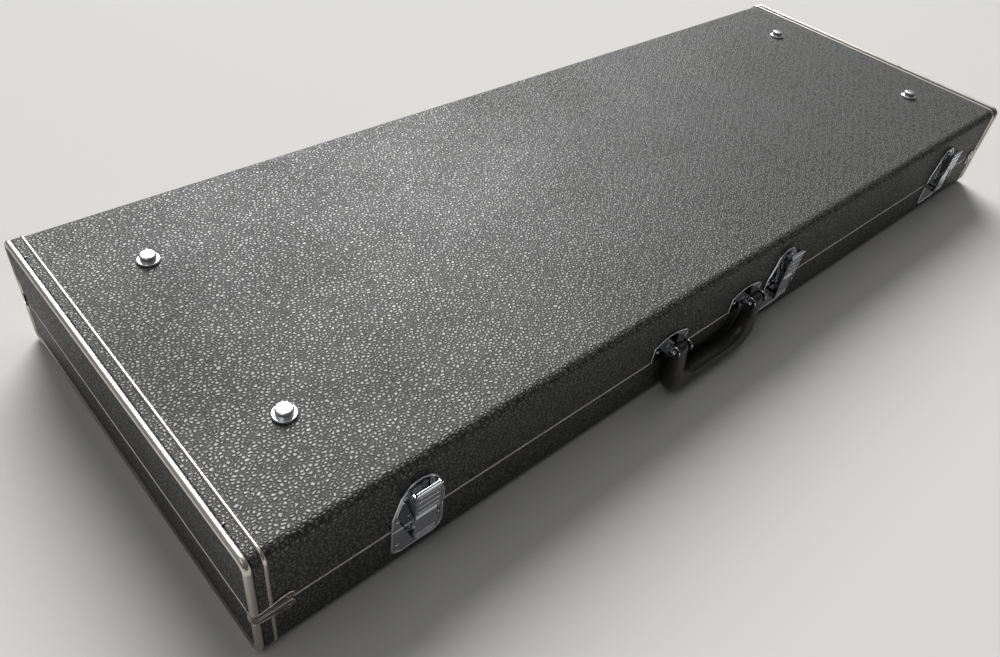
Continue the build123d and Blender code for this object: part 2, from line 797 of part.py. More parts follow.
def make_hinge_leaves(name):
    """One half's three hinge leaves: two outer knuckles on the base, a middle one on the lid."""
    up = halves[name]["up"]
    middle = hinge_middle_share / 2
    knuckles = [(-middle, middle)]
    bore = hinge_pin_radius
    if name == "base":
        near = middle + hinge_knuckle_gap
        knuckles = [(-hinge_width / 2, -near), (near, hinge_width / 2)]
        bore = hinge_pin_radius + running_clearance
    leaf_from = seam + up * hinge_leaf_start
    leaf_to = seam + up * (hinge_leaf_start + hinge_leaf_height)
    with BuildPart() as leaves:
        for x in hinge_places:
            box_between((x - hinge_width / 2, x + hinge_width / 2),
                        (half_width, half_width + hinge_sheet), (leaf_from, leaf_to))
            for start, stop in knuckles:
                web = (half_width + hinge_web_in, half_width + hinge_axis_out)
                box_between((x + start, x + stop), web,
                            (seam + up * hinge_web_in, leaf_from + up * hinge_web_lap))
                hinge_bar(x + start, x + stop, hinge_barrel_radius)
            through = hinge_width / 2 + overcut
            hinge_bar(x - through, x + through, bore, mode=Mode.SUBTRACT)
        for place_x, place_z, side in rivet_places(name):
            if side > 0 and near_any(place_x, hinge_places, hinge_width / 2):
                with Locations(Plane.XZ.offset(-half_width) * Location((place_x, place_z, 0))):
                    Cylinder(latch_rivet_radius, 3 * plate_thickness, mode=Mode.SUBTRACT)
    save(leaves.part, f"hinge_{name}_leaves")


def make_hinge_pins():
    """The pin of each hinge."""
    with BuildPart() as pins:
        for x in hinge_places:
            hinge_bar(x - hinge_width / 2, x + hinge_width / 2, hinge_pin_radius)
    save(pins.part, "hinge_pins")


def pad_limits(name):
    """Z of the padding's rim edge, its inner floor and its back on the panel."""
    half = halves[name]
    up = half["up"]
    panel = wood_limits(half)[1]
    return half["rim"] + up * pad_rim_drop, panel - up * pad_floor, panel


def make_padding(name):
    """The plush foam tray that lines one half."""
    rim, floor, back = pad_limits(name)
    up = halves[name]["up"]
    with BuildPart() as padding:
        box_between((-inner_half_length, inner_half_length), (-inner_half_width, inner_half_width),
                    (rim, back))
        room_x = inner_half_length - pad_side
        room_y = inner_half_width - pad_side
        box_between((-room_x, room_x), (-room_y, room_y), (rim - up * overcut, floor),
                    mode=Mode.SUBTRACT)
    save(padding.part, f"{name}_padding")


def make_nest():
    """The foam block with the pocket for the guitar's body and the start of its neck."""
    floor = pad_limits("base")[1]
    room_x = inner_half_length - pad_side
    room_y = inner_half_width - pad_side
    with BuildPart() as nest:
        box_between((-room_x, nest_neck_end), (-room_y, room_y), (floor - nest_height, floor))
        with BuildSketch(Plane.XY.offset(floor - nest_height - overcut)) as pocket:
            with Locations((lower_bout_place, 0)):
                Circle(lower_bout_radius)
            with Locations((upper_bout_place, 0)):
                Circle(upper_bout_radius)
            channel_end = nest_neck_end + overcut
            with Locations(((upper_bout_place + channel_end) / 2, 0)):
                Rectangle(channel_end - upper_bout_place, neck_channel_width)
        extrude(pocket.sketch, amount=nest_height + 2 * overcut, mode=Mode.SUBTRACT)
    save(nest.part, "body_nest")


def make_cradle():
    """The block with a channel that the guitar's neck lies in."""
    floor = pad_limits("base")[1]
    low = floor - cradle_height
    with BuildPart() as cradle:
        box_between((cradle_place - cradle_length / 2, cradle_place + cradle_length / 2),
                    (-cradle_width / 2, cradle_width / 2), (low, floor))
        upright = cradle.edges().filter_by(Axis.Z)
        fillet(upright, cradle_corner_radius)
        with BuildSketch(Plane.YZ.offset(cradle_place - cradle_length)) as channel:
            with Locations((0, low + (cradle_channel_depth - overcut) / 2)):
                Rectangle(cradle_channel_width, cradle_channel_depth + overcut)
            fillet(channel.vertices().group_by(Axis.Y)[-1], cradle_channel_round)
        extrude(channel.sketch, amount=2 * cradle_length, mode=Mode.SUBTRACT)
    save(cradle.part, "neck_cradle")


def make_compartment():
    """The accessory compartment beside the neck, its flap and the flap's pull tab."""
    floor = pad_limits("base")[1]
    mouth = floor - compartment_depth
    front = -(inner_half_width - pad_side)
    back = front + compartment_width
    flap_top = mouth + flap_thickness
    pivot_y = front + flap_pin_inset
    pivot_z = mouth + flap_thickness / 2
    flap_from = compartment_from + compartment_wall + flap_play
    flap_to = compartment_to - compartment_wall - flap_play
    pin_reach = flap_play + flap_pin_length
    with BuildPart() as tray:
        box_between((compartment_from, compartment_to), (front, back), (mouth, floor))
        wall = compartment_wall
        box_between((compartment_from + wall, compartment_to - wall), (front + wall, back - wall),
                    (mouth - overcut, floor), mode=Mode.SUBTRACT)
        box_between((compartment_from + wall, compartment_to - wall),
                    (front - overcut, back + overcut), (mouth - overcut, flap_top + flap_play),
                    mode=Mode.SUBTRACT)
        with Locations(Location(((compartment_from + compartment_to) / 2, pivot_y, pivot_z),
                                (0, 90, 0))):
            Cylinder(flap_pin_radius + running_clearance,
                     flap_to - flap_from + 2 * pin_reach + 2 * flap_play, mode=Mode.SUBTRACT)
    save(tray.part, "compartment_tray")
    with BuildPart() as flap:
        box_between((flap_from, flap_to), (pivot_y, back), (mouth, flap_top))
        with Locations(Location(((flap_from + flap_to) / 2, pivot_y, pivot_z), (0, 90, 0))):
            Cylinder(flap_thickness / 2, flap_to - flap_from)
            Cylinder(flap_pin_radius, flap_to - flap_from + 2 * pin_reach)
    save(flap.part, "compartment_flap")
    middle = (flap_from + flap_to) / 2
    with BuildPart() as tab:
        box_between((middle - tab_width / 2, middle + tab_width / 2), (back - tab_length, back + tab_overhang),
                    (mouth - tab_thickness, mouth))
    save(tab.part, "flap_pull_tab")


def build():
    """Make every piece and write it to its own file."""
    os.makedirs("parts", exist_ok=True)
    for name in halves:
        make_wood(name)
        make_rim(name)
        make_covering(name)
        make_end_trim(name)
        make_corner_clips(name)
        make_clip_rivets(name)
        make_hinge_leaves(name)
        make_padding(name)
    make_feet()
    for x, name in zip(latch_places, ("near", "middle", "far")):
        make_latch_plate(x, name)
        make_catch_plate(x, name)
        make_lever(x, name)
        make_hasp(x, name)
    make_lever_pins()
    make_handle()
    make_hinge_pins()
    in_latch = latch_width / 2
    make_plate_rivets("base", "latch_plate_rivets",
                      lambda x, side: side < 0 and near_any(x, latch_places, in_latch))
    make_plate_rivets("base", "handle_rivets",
                      lambda x, side: side < 0 and near_any(x, handle_places, in_latch))
    make_plate_rivets("base", "hinge_base_rivets", lambda x, side: side > 0)
    make_plate_rivets("lid", "catch_plate_rivets", lambda x, side: side < 0)
    make_plate_rivets("lid", "hinge_lid_rivets", lambda x, side: side > 0)
    make_nest()
    make_cradle()
    make_compartment()


build()
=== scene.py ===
import math

import bmesh
import bpy
from mathutils import Matrix, Vector


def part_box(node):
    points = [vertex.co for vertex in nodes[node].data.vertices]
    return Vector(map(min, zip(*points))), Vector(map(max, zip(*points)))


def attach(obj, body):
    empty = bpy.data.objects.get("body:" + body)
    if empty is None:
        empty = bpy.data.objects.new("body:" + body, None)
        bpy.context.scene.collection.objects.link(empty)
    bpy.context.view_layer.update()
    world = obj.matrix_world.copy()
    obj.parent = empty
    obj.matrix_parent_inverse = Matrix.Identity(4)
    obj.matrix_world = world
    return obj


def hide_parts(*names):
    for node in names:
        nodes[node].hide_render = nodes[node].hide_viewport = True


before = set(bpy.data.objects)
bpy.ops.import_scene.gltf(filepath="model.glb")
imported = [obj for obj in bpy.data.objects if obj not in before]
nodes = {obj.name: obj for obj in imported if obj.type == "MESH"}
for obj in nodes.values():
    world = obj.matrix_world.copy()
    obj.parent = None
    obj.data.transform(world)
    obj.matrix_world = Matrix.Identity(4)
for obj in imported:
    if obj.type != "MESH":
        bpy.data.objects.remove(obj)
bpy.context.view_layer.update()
scene = bpy.context.scene
mm = 0.001


def nodeBox(node):
    # a node's lowest and highest corners, in millimetres
    return [Vector(c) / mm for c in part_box(node)]


def middleOf(node):
    low, high = nodeBox(node)
    return (low + high) / 2


# the case lies on its lid: z 0 is the lid's outer face, -y its front, +x its far end (millimetres)
halfGap = 0.2  # half of the gap between the two rims
baseLow, baseHigh = nodeBox("base_covering")
case = {"seam": nodeBox("base_rim")[0].z - halfGap, "front": baseLow.y, "top": baseHigh.z,
        "halfLength": baseHigh.x}
latchPlaces = {side: middleOf(side + "_latch_plate").x for side in ("near", "middle", "far")}
bracketLow, bracketHigh = nodeBox("handle_brackets")


# colour, nodes and materials

def fromHex(code):
    # sRGB hex to the linear values that the shaders want
    parts = [int(code[i:i + 2], 16) / 255 for i in (1, 3, 5)]
    return tuple(c / 12.92 if c <= 0.04045 else ((c + 0.055) / 1.055) ** 2.4 for c in parts) + (1.0,)


def put(tree, kind, inputs=None, **settings):
    # one node with its settings, values and links
    new = tree.nodes.new(kind)
    for key, value in settings.items():
        setattr(new, key, value)
    for key, value in (inputs or {}).items():
        socket = new.inputs[key]
        if isinstance(value, bpy.types.NodeSocket):
            tree.links.new(value, socket)
        else:
            socket.default_value = value
    return new


def startMaterial(name, **values):
    # a Principled surface with fixed values on its own sockets
    made = bpy.data.materials.new(name)
    made.use_nodes = True
    tree = made.node_tree
    shader = tree.nodes["Principled BSDF"]
    for key, value in values.items():
        shader.inputs[key].default_value = value
    place = put(tree, "ShaderNodeTexCoord").outputs["Object"]
    return made, tree, shader, place


def leatherette(name, grain, dark, light, gloss, relief):
    # PVC leatherette on cloth, embossed with a pebble grain: each pebble has a shiny crown that catches the
    # light on its own side, and dull creases run between them; the base colour is painted lighter on the
    # crowns, a painted highlight, and darker in the creases, painted shade
    made, tree, shader, place = startMaterial(name, **{"IOR": 1.54})
    wander = put(tree, "ShaderNodeTexNoise", {"Vector": place, "Scale": 0.4 / grain, "Detail": 2.0})
    centred = put(tree, "ShaderNodeVectorMath", {0: wander.outputs["Color"], 1: (0.5, 0.5, 0.5)},
                  operation="SUBTRACT")
    moved = put(tree, "ShaderNodeVectorMath", {0: centred.outputs[0], 1: (grain * 0.7,) * 3, 2: place},
                operation="MULTIPLY_ADD")
    drawn = put(tree, "ShaderNodeMapping", {"Vector": moved.outputs[0], "Rotation": (0.3, 0.2, 0.5),
                                            "Scale": (0.9, 1.1, 1.0)})
    cells = {"Vector": drawn.outputs[0], "Scale": 1 / grain, "Randomness": 0.88}
    pebbles = put(tree, "ShaderNodeTexVoronoi", cells, feature="DISTANCE_TO_EDGE")
    each = put(tree, "ShaderNodeTexVoronoi", cells, feature="F1")
    crown = put(tree, "ShaderNodeMapRange", {"Value": pebbles.outputs["Distance"], 1: 0.03, 2: 0.32},
                interpolation_type="SMOOTHSTEP")
    swell = put(tree, "ShaderNodeTexNoise", {"Vector": place, "Scale": 0.75 / grain, "Detail": 3.0,
                                             "Roughness": 0.6})
    height = put(tree, "ShaderNodeMath", {0: swell.outputs["Fac"], 1: 0.4, 2: crown.outputs[0]},
                 operation="MULTIPLY_ADD")
    # base colour follows the crown mask: painted highlight on the crowns, painted shade in the creases
    tone = put(tree, "ShaderNodeMix", {0: crown.outputs[0], 6: fromHex(dark), 7: fromHex(light)},
               data_type="RGBA")
    tree.links.new(tone.outputs[2], shader.inputs["Base Color"])
    shine = put(tree, "ShaderNodeMapRange", {"Value": crown.outputs[0], 3: 0.4, 4: 1.0})
    tree.links.new(shine.outputs[0], shader.inputs["Specular IOR Level"])
    # broad patches that hands and shelves have rubbed duller
    patches = put(tree, "ShaderNodeTexNoise", {"Vector": place, "Scale": 5.0, "Detail": 4.0,
                                               "Roughness": 0.55})
    rubbed = put(tree, "ShaderNodeMapRange", {"Value": patches.outputs["Fac"], 1: 0.35, 2: 0.68})
    dull = put(tree, "ShaderNodeMapRange", {"Value": crown.outputs[0], 3: gloss[1], 4: gloss[0]})
    uneven = put(tree, "ShaderNodeMath", {0: each.outputs["Color"], 1: 0.1, 2: dull.outputs[0]},
                 operation="MULTIPLY_ADD")
    worn = put(tree, "ShaderNodeMath", {0: rubbed.outputs[0], 1: 0.13, 2: uneven.outputs[0]},
               operation="MULTIPLY_ADD")
    tree.links.new(worn.outputs[0], shader.inputs["Roughness"])
    bump = put(tree, "ShaderNodeBump", {"Height": height.outputs[0], "Strength": 1.0,
                                        "Distance": relief * mm})
    tree.links.new(bump.outputs[0], shader.inputs["Normal"])
    return made


def platedMetal(name, colour, haze, roughness, spread):
    # polished plating on pressed steel: near mirror, with a faint haze from handling and polishing
    made, tree, shader, place = startMaterial(name, **{"Metallic": 1.0})
    clouds = put(tree, "ShaderNodeTexNoise", {"Vector": place, "Scale": 60.0, "Detail": 4.0,
                                              "Roughness": 0.65})
    rub = put(tree, "ShaderNodeMapRange", {"Value": clouds.outputs["Fac"], 1: 0.3, 2: 0.7,
                                           3: roughness, 4: roughness + spread})
    tree.links.new(rub.outputs[0], shader.inputs["Roughness"])
    tint = put(tree, "ShaderNodeMix", {0: clouds.outputs["Fac"], 6: fromHex(colour), 7: fromHex(haze)},
               data_type="RGBA")
    tree.links.new(tint.outputs[2], shader.inputs["Base Color"])
    ripple = put(tree, "ShaderNodeTexNoise", {"Vector": place, "Scale": 260.0, "Detail": 2.0})
    bump = put(tree, "ShaderNodeBump", {"Height": ripple.outputs["Fac"], "Strength": 0.12,
                                        "Distance": 0.0002})
    tree.links.new(bump.outputs[0], shader.inputs["Normal"])
    return made


def drawnAluminium(name):
    # aluminium rim, drawn through a die: fine lines along its run, dulled by handling
    made, tree, shader, place = startMaterial(name, **{"Metallic": 1.0})
    along = put(tree, "ShaderNodeMapping", {"Vector": place, "Scale": (12.0, 12.0, 2600.0)})
    lines = put(tree, "ShaderNodeTexNoise", {"Vector": along.outputs[0], "Scale": 1.0, "Detail": 4.0})
    rub = put(tree, "ShaderNodeMapRange", {"Value": lines.outputs["Fac"], 3: 0.26, 4: 0.46})
    tree.links.new(rub.outputs[0], shader.inputs["Roughness"])
    tint = put(tree, "ShaderNodeMix", {0: lines.outputs["Fac"], 6: fromHex("#8f8a80"),
                                       7: fromHex("#d9d3c7")}, data_type="RGBA")
    tree.links.new(tint.outputs[2], shader.inputs["Base Color"])
    return made


def mouldedPlastic(name):
    # injection moulded polypropylene: deep black, satin, with a faint orange peel and scuffs
    made, tree, shader, place = startMaterial(name, **{"IOR": 1.49})
    peel = put(tree, "ShaderNodeTexNoise", {"Vector": place, "Scale": 700.0, "Detail": 3.0})
    scuffs = put(tree, "ShaderNodeTexNoise", {"Vector": place, "Scale": 55.0, "Detail": 6.0,
                                              "Roughness": 0.7})
    rub = put(tree, "ShaderNodeMapRange", {"Value": scuffs.outputs["Fac"], 1: 0.35, 2: 0.7,
                                           3: 0.3, 4: 0.42})
    tree.links.new(rub.outputs[0], shader.inputs["Roughness"])
    tint = put(tree, "ShaderNodeMix", {0: scuffs.outputs["Fac"], 6: fromHex("#1c1b18"),
                                       7: fromHex("#2d2b27")}, data_type="RGBA")
    tree.links.new(tint.outputs[2], shader.inputs["Base Color"])
    bump = put(tree, "ShaderNodeBump", {"Height": peel.outputs["Fac"], "Strength": 0.1, "Distance": 0.0001})
    tree.links.new(bump.outputs[0], shader.inputs["Normal"])
    return made


def plushPile(name, dark, light, pile):
    # short crushed plush: soft pile that shades in patches where it has been brushed
    made, tree, shader, place = startMaterial(name, **{"Sheen Weight": 0.55, "Sheen Roughness": 0.4,
                                                       "Roughness": 0.95, "IOR": 1.4})
    crush = put(tree, "ShaderNodeTexNoise", {"Vector": place, "Scale": 26.0, "Detail": 5.0,
                                             "Roughness": 0.6, "Distortion": 1.2})
    tufts = put(tree, "ShaderNodeTexNoise", {"Vector": place, "Scale": 1 / pile, "Detail": 3.0})
    mixed = put(tree, "ShaderNodeMath", {0: tufts.outputs["Fac"], 1: 0.45, 2: crush.outputs["Fac"]},
                operation="MULTIPLY_ADD")
    spread = put(tree, "ShaderNodeMapRange", {"Value": mixed.outputs[0], 1: 0.45, 2: 1.0})
    tone = put(tree, "ShaderNodeMix", {0: spread.outputs[0], 6: fromHex(dark), 7: fromHex(light)},
               data_type="RGBA")
    tree.links.new(tone.outputs[2], shader.inputs["Base Color"])
    bump = put(tree, "ShaderNodeBump", {"Height": mixed.outputs[0], "Strength": 0.6, "Distance": 0.0012})
    tree.links.new(bump.outputs[0], shader.inputs["Normal"])
    return made


def birchPly(name):
    # birch plywood: pale, with grain along the case and thin plies at the edges
    made, tree, shader, place = startMaterial(name, **{"IOR": 1.5})
    along = put(tree, "ShaderNodeMapping", {"Vector": place, "Scale": (3.0, 60.0, 60.0)})
    grain = put(tree, "ShaderNodeTexNoise", {"Vector": along.outputs[0], "Scale": 2.0, "Detail": 6.0,
                                             "Distortion": 0.6})
    plies = put(tree, "ShaderNodeTexWave", {"Vector": place, "Scale": 180.0, "Distortion": 0.4},
                bands_direction="Z")
    mixed = put(tree, "ShaderNodeMath", {0: plies.outputs["Fac"], 1: 0.25, 2: grain.outputs["Fac"]},
                operation="MULTIPLY_ADD")
    tone = put(tree, "ShaderNodeMix", {0: mixed.outputs[0], 6: fromHex("#c9a878"),
                                       7: fromHex("#8d6a3f")}, data_type="RGBA")
    tree.links.new(tone.outputs[2], shader.inputs["Base Color"])
    rub = put(tree, "ShaderNodeMapRange", {"Value": grain.outputs["Fac"], 3: 0.5, 4: 0.75})
    tree.links.new(rub.outputs[0], shader.inputs["Roughness"])
    return made


def wovenRibbon(name):
    # grosgrain ribbon: ribs across its width, drawn coarser than life so that they show
    made, tree, shader, place = startMaterial(name, **{"Sheen Weight": 0.2, "Roughness": 0.7})
    ribs = put(tree, "ShaderNodeTexWave", {"Vector": place, "Scale": 400.0, "Distortion": 0.3},
               bands_direction="Y")
    tone = put(tree, "ShaderNodeMix", {0: ribs.outputs["Fac"], 6: fromHex("#0c0c0d"),
                                       7: fromHex("#26262a")}, data_type="RGBA")
    tree.links.new(tone.outputs[2], shader.inputs["Base Color"])
    bump = put(tree, "ShaderNodeBump", {"Height": ribs.outputs["Fac"], "Strength": 0.5, "Distance": 0.0003})
    tree.links.new(bump.outputs[0], shader.inputs["Normal"])
    return made


# leatherette: pebble size in metres, crease colour (painted shade) and crown colour (painted highlight),
# gloss of crown and crease, relief in mm
finishes = {
    "leatheretteBlack": leatherette("leatheretteBlack", 0.0031, "#141412", "#3f403b", (0.35, 0.5), 0.3),
    "leatheretteStrip": leatherette("leatheretteStrip", 0.0027, "#141412", "#3f403b", (0.35, 0.5), 0.26),
    "nickelBinding": platedMetal("nickelBinding", "#dcd7d0", "#c2bdb5", 0.26, 0.1),
    # a darker copy of the nickel: painted dark reflection on the clips' bodies and the strip pins
    "nickelClipDarkReflection": platedMetal("nickelClipDarkReflection", "#8f8b86", "#7b7772", 0.1, 0.1),
    # a lighter copy of the nickel: painted highlight on the rim beads and the clips' edges
    "nickelEdgeHighlight": platedMetal("nickelEdgeHighlight", "#e6e1da", "#d2ccc4", 0.2, 0.1),
    "chromeBright": platedMetal("chromeBright", "#b9bbc0", "#a6a8ad", 0.04, 0.06),
    # a lighter copy of the chrome above: painted highlight on the beads, ribs, knobs, pin heads and feet
    "chromeEdgeHighlight": platedMetal("chromeEdgeHighlight", "#f1f1f4", "#dedfe3", 0.2, 0.08),
    "aluminiumDrawn": drawnAluminium("aluminiumDrawn"),
    "mouldedBlack": mouldedPlastic("mouldedBlack"),
    "plushCharcoal": plushPile("plushCharcoal", "#0f0f11", "#34343a", 0.0016),
    "plushBoard": plushPile("plushBoard", "#101012", "#303036", 0.0012),
    "plywoodBirch": birchPly("plywoodBirch"),
    "ribbonBlack": wovenRibbon("ribbonBlack"),
}


def finishFor(name):
    # which finish each carried-over piece wears, by the first of these words that its name holds
    # the clips' bodies get the darker nickel, a painted dark reflection
    rules = (("covering", "leatheretteBlack"), ("end_strips", "leatheretteStrip"),
             ("bindings", "nickelBinding"), ("feet", "chromeEdgeHighlight"), ("clip", "nickelClipDarkReflection"),
             ("_rim", "aluminiumDrawn"), ("grip", "mouldedBlack"), ("padding", "plushCharcoal"),
             ("nest", "plushCharcoal"), ("cradle", "plushCharcoal"), ("tray", "plushBoard"),
             ("flap", "plushBoard"), ("wall", "plywoodBirch"), ("panel", "plywoodBirch"))
    for part, finish in rules:
        if part in name:
            return finishes[finish]
    return finishes["chromeBright"]


for name, piece in nodes.items():
    piece.data.materials.clear()
    piece.data.materials.append(finishFor(name))
print("finishes on", len(nodes), "carried-over pieces")


# makers that several pieces share

def meshPiece(name, verts, faces, finish, smooth=True):
    mesh = bpy.data.meshes.new(name)
    mesh.from_pydata([Vector(v) for v in verts], [], faces)
    mesh.materials.append(finish)
    piece = bpy.data.objects.new(name, mesh)
    scene.collection.objects.link(piece)
    if smooth:
        mesh.polygons.foreach_set("use_smooth", [True] * len(mesh.polygons))
    return piece


def bake(piece, name=None):
    # the evaluated shape as a plain mesh, its modifiers gone
    view = bpy.context.evaluated_depsgraph_get()
    view.update()
    mesh = bpy.data.meshes.new_from_object(piece.evaluated_get(view))
    if piece.type == "MESH":
        piece.modifiers.clear()
        piece.data = mesh
        return piece
    made = bpy.data.objects.new(name, mesh)
    scene.collection.objects.link(made)
    bpy.data.objects.remove(piece)
    return made


def roundedRing(halfX, halfY, radius, z, steps=8):
    # points round a rectangle with rounded corners
    points = []
    for quarter, (sx, sy) in enumerate(((1, 1), (-1, 1), (-1, -1), (1, -1))):
        for step in range(steps + 1):
            angle = math.radians(90 * quarter + 90 * step / steps)
            points.append((sx * (halfX - radius) + radius * math.cos(angle),
                           sy * (halfY - radius) + radius * math.sin(angle), z))
    return points


def loftRings(name, rings, finish):
    # skin over a stack of rings, closed at both ends
    count = len(rings[0])
    verts = [tuple(c * mm for c in p) for ring in rings for p in ring]
    faces = []
    for level in range(len(rings) - 1):
        for i in range(count):
            a, b = level * count + i, level * count + (i + 1) % count
            faces.append((a, b, b + count, a + count))
    faces.append(tuple(range(count))[::-1])
    faces.append(tuple(range((len(rings) - 1) * count, len(rings) * count)))
    piece = meshPiece(name, verts, faces, finish)
    work = bmesh.new()
    work.from_mesh(piece.data)
    bmesh.ops.recalc_face_normals(work, faces=work.faces)
    work.to_mesh(piece.data)
    work.free()
    return piece


def flatBlock(name, outline, thickness, edge, finish, turn):
    # a slab cut from a closed outline, with rounded edges, then put in its place
    curve = bpy.data.curves.new(name, "CURVE")
    curve.dimensions = "2D"
    curve.fill_mode = "BOTH"
    curve.extrude = (thickness / 2 - edge) * mm
    curve.bevel_depth = edge * mm
    curve.bevel_resolution = 3
    curve.offset = -edge * mm
    spline = curve.splines.new("POLY")
    spline.points.add(len(outline) - 1)
    for point, (x, y) in zip(spline.points, outline):
        point.co = (x * mm, y * mm, 0, 1)
    spline.use_cyclic_u = True
    made = bake(bpy.data.objects.new(name + "Outline", curve), name)
    made.data.transform(turn)
    made.data.materials.clear()
    made.data.materials.append(finish)
    made.data.polygons.foreach_set("use_smooth", [True] * len(made.data.polygons))
    return made


# lining, seen when the case is open

lining = {
    "sideWall": 8.0,
    "floor": 6.0,
    "outerCorner": 1.0,
    "lip": 3.5,                # height of the rounded top of the side pads
    "lipSteps": 8,
    "corner": 8.4,
    "cove": 6.0,               # radius between the side pads and the floor pad
    "coveSteps": 5,
}


def makeLining(name, body, node):
    low, high = nodeBox(node)
    halfX, halfY = (high.x - low.x) / 2, (high.y - low.y) / 2
    rim, back, way = (low.z, high.z, 1) if body == "base" else (high.z, low.z, -1)
    wall, corner, outer = lining["sideWall"], lining["corner"], lining["outerCorner"]
    lip, cove = way * lining["lip"], lining["cove"]
    floor = back - way * lining["floor"]
    rings = [roundedRing(halfX, halfY, outer, back), roundedRing(halfX, halfY, outer, rim + lip)]
    for step in range(1, lining["lipSteps"]):
        angle = math.pi * step / lining["lipSteps"]
        inset = wall / 2 * (1 - math.cos(angle))
        rings.append(roundedRing(halfX - inset, halfY - inset, outer + inset,
                                 rim + lip * (1 - math.sin(angle))))
    rings.append(roundedRing(halfX - wall, halfY - wall, corner, rim + lip))
    rings.append(roundedRing(halfX - wall, halfY - wall, corner, floor - way * cove))
    for step in range(1, lining["coveSteps"] + 1):
        angle = math.pi / 2 * step / lining["coveSteps"]
        inset = wall + cove * (1 - math.cos(angle))
        rings.append(roundedRing(halfX - inset, halfY - inset, corner,
                                 floor - way * cove * (1 - math.sin(angle))))
    piece = loftRings(name, rings, finishes["plushCharcoal"])
    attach(piece, body)
    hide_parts(node)


makeLining("baseLining", "base", "base_padding")
makeLining("lidLining", "lid", "lid_padding")


# nest for the guitar's body, with a pocket cut right through it

guitar = {
    "bout": (-370.0, 172.0),       # place along the case and radius
    "shoulder": (-150.0, 128.0),
    "neck": 40.0,                  # half-width where the neck leaves
    "end": 30.0,
    "startLength": 60.0,           # the outline's points are closer together over this length
    "startPoints": 24,
    "spacing": 4.0,
    "endInset": 6.0,
    "easings": 6,                  # times that the meeting of the bouts is smoothed
    "easeFrom": -300.0,
    "easeInset": 14.0,
    "edge": 4.0,
}


def halfWidth(x):
    # half of the pocket's width at a place along the case
    best = guitar["neck"] if x > guitar["shoulder"][0] else 0.0
    for centre, radius in (guitar["bout"], guitar["shoulder"]):
        if abs(x - centre) < radius:
            best = max(best, math.sqrt(radius * radius - (x - centre) ** 2))
    return best


def pocketOutline():
    # the guitar's pocket, one side there and the other back, eased where the bouts meet
    start, length = guitar["bout"][0] - guitar["bout"][1], guitar["startLength"]
    points, spacing = guitar["startPoints"], guitar["spacing"]
    xs = [start + (1 - math.cos(math.pi / 2 * i / points)) * length for i in range(points)]
    rest = guitar["end"] - guitar["endInset"] - start - length
    xs += [start + length + i * spacing for i in range(int(rest / spacing))]
    widths = [halfWidth(x) for x in xs]
    last = guitar["end"] - guitar["easeInset"]
    for turn in range(guitar["easings"]):
        widths = [w if x < guitar["easeFrom"] or x > last else (widths[i - 1] + 2 * w + widths[i + 1]) / 4
                  for i, (x, w) in enumerate(zip(xs, widths))]
    side = list(zip(xs, widths))
    return side + [(x, -w) for x, w in reversed(side)][:-1]


def makeNest():
    low, high = nodeBox("body_nest")
    # the block is a U round the pocket, open where the neck leaves it
    pocket = pocketOutline()
    upper = [(x, y) for x, y in pocket if y >= 0]
    lower = [(x, y) for x, y in pocket if y < 0]
    outline = [(high.x, upper[-1][1])] + upper[::-1] + lower[::-1] + [(high.x, lower[0][1])]
    outline += [(high.x, low.y), (low.x, low.y), (low.x, high.y), (high.x, high.y)]
    middle = Matrix.Translation((0, 0, (low.z + high.z) / 2 * mm))
    piece = flatBlock("bodyNestFoam", outline, high.z - low.z, guitar["edge"],
                      finishes["plushCharcoal"], middle)
    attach(piece, "base")
    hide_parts("body_nest")


# cradle for the guitar's neck: a block with a round-bottomed channel

cradle = {"halfWidth": 31.0, "depth": 26.0, "radius": 14.0, "edge": 3.0, "turnStep": 10}


def makeCradle():
    low, high = nodeBox("neck_cradle")
    width, radius = cradle["halfWidth"], cradle["radius"]
    bend = low.z + cradle["depth"] - radius
    outline = [(low.y, low.z), (-width, low.z), (-width, bend)]
    for angle in range(cradle["turnStep"], 91, cradle["turnStep"]):
        turned = math.radians(angle)
        outline.append((-width + radius - radius * math.cos(turned), bend + radius * math.sin(turned)))
    outline += [(-y, z) for y, z in outline[1:][::-1]]
    outline += [(high.y, low.z), (high.y, high.z), (low.y, high.z)]
    # outline axes (y, z) turned up into place across the case
    turn = Matrix(((0, 0, 1, (low.x + high.x) / 2 * mm), (1, 0, 0, 0), (0, 1, 0, 0), (0, 0, 0, 1)))
    piece = flatBlock("neckCradleFoam", outline, high.x - low.x, cradle["edge"],
                      finishes["plushCharcoal"], turn)
    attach(piece, "base")
    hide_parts("neck_cradle")


# ribbon tab that pulls the compartment's flap open

pullTab = {"rows": 14, "lift": 0.25, "crown": 0.35, "thick": 0.4}


def makePullTab():
    low, high = nodeBox("flap_pull_tab")
    rows, verts, faces = pullTab["rows"], [], []
    for i in range(rows + 1):
        y = low.y + (high.y - low.y) * i / rows
        z = low.z + pullTab["lift"] + pullTab["crown"] * math.sin(math.pi * i / rows)
        for x in (low.x, high.x):
            verts.append((x * mm, y * mm, z * mm))
    for i in range(rows):
        a = 2 * i
        faces.append((a, a + 1, a + 3, a + 2))
    piece = meshPiece("pullTabRibbon", verts, faces, finishes["ribbonBlack"])
    thick = piece.modifiers.new("thick", "SOLIDIFY")
    thick.thickness = pullTab["thick"] * mm
    thick.offset = 0
    bake(piece)
    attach(piece, "compartment_flap")
    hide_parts("flap_pull_tab")


makeNest()
makeCradle()
makePullTab()
print("lining, nest, cradle and tab made")


# moulded handle: thin arms that swell into a round grip

